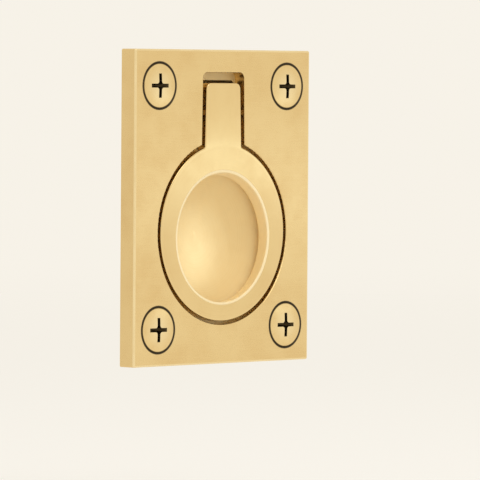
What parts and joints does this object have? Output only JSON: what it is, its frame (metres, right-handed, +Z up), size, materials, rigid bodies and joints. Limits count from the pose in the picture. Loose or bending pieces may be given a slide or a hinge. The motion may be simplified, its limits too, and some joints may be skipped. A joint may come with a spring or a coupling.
{
  "type": "flush ring pull",
  "caption": "Rectangular flush pull whose hinged ring lies in a keyhole recess over a finger bowl; opens square to the plate.",
  "frame": {"origin": "middle of the four fixing screws, on the plate's back plane", "axes": "+X across the plate to the right seen from the front, +Y out of the back along the screws, into the door, +Z up"},
  "size_m": [0.052, 0.0106, 0.065],
  "materials": {
    "plate_brass": "fine satin on the face, as cast behind",
    "ring_brass": "fine satin with eased, polished edges",
    "pin_brass": "drawn, end dressed flush",
    "screw_brass": "turned"
  },
  "bodies": {
    "plate": {"backplate": "plate_brass", "hinge_pin": "pin_brass", "fixing_screws": "screw_brass"},
    "ring": {"pull_ring": "ring_brass"}
  },
  "joints": [
    {"name": "ring_hinge", "type": "hinge", "parent": "plate", "child": "ring", "pos_m": [0, -0.002, 0.0195], "axis": [-1, 0, 0], "range_deg": [0, 90]}
  ]
}
